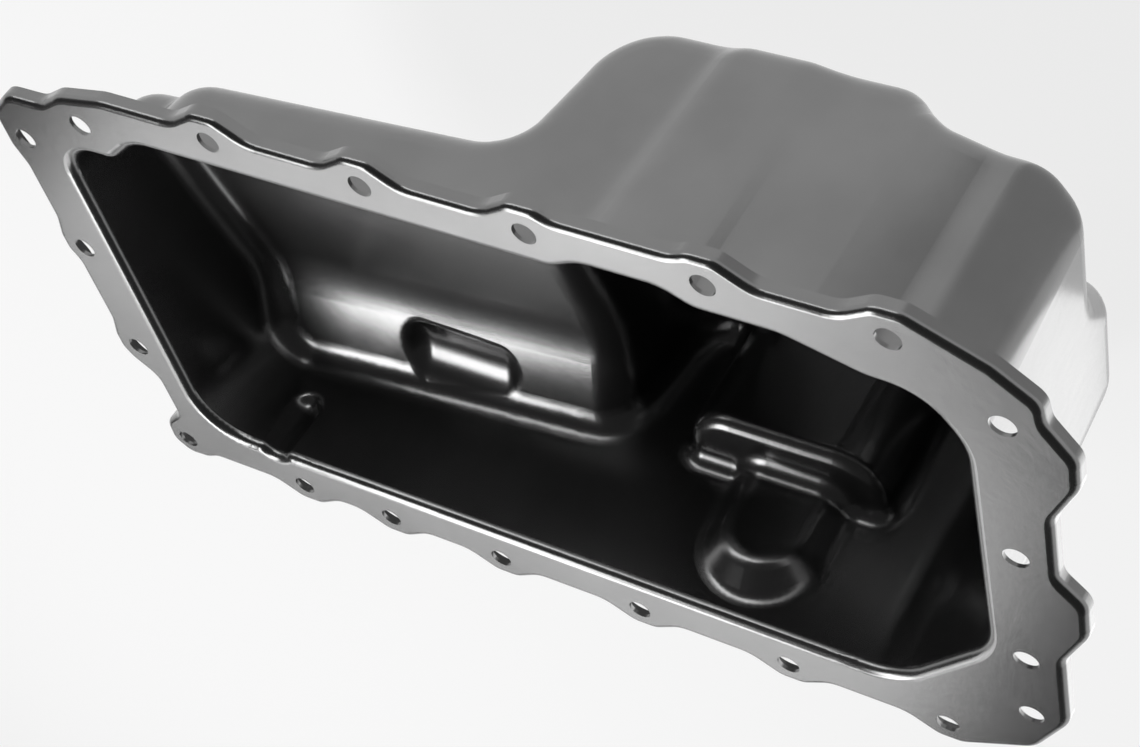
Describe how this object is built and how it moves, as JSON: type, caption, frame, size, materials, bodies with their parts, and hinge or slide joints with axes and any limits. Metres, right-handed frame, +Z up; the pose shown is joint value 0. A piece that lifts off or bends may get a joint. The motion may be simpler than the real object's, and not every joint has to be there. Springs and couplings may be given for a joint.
{
  "type": "engine oil pan",
  "caption": "Pressed steel engine oil pan: a shallow trough stepping down to a deep sump, a bolted rail with a turned-down lip, and a screwed drain plug.",
  "frame": {"origin": "on the sealing face, halfway between the two long bolt rows and the two end bolt columns", "axes": "+Z up out of the mouth, +X along the long bolt rows towards the deep sump, +Y across the pan towards the drain plug's side"},
  "size_m": [0.4133, 0.2326, 0.1345],
  "materials": {
    "coated_steel": "satin black dip coating",
    "washer_metal": "plain",
    "plug_steel": "dull plated"
  },
  "bodies": {
    "pan": {"pan_body": "coated_steel", "drain_boss": "coated_steel"},
    "washer": {"drain_washer": "washer_metal"},
    "plug": {"drain_plug": "plug_steel"}
  },
  "joints": [
    {"name": "drain_drop", "type": "slide", "parent": "pan", "child": "washer", "axis": [0, 0, -1], "range_m": [0, 0.0106]},
    {"name": "drain_turn", "type": "hinge", "parent": "washer", "child": "plug", "pos_m": [0.047, 0.051, -0.13], "axis": [0, 0, -1], "range_deg": [0, 2520]}
  ],
  "couplings": [
    {"joint": "drain_drop", "follows": "drain_turn", "m_per_rad": 0.00023873}
  ]
}
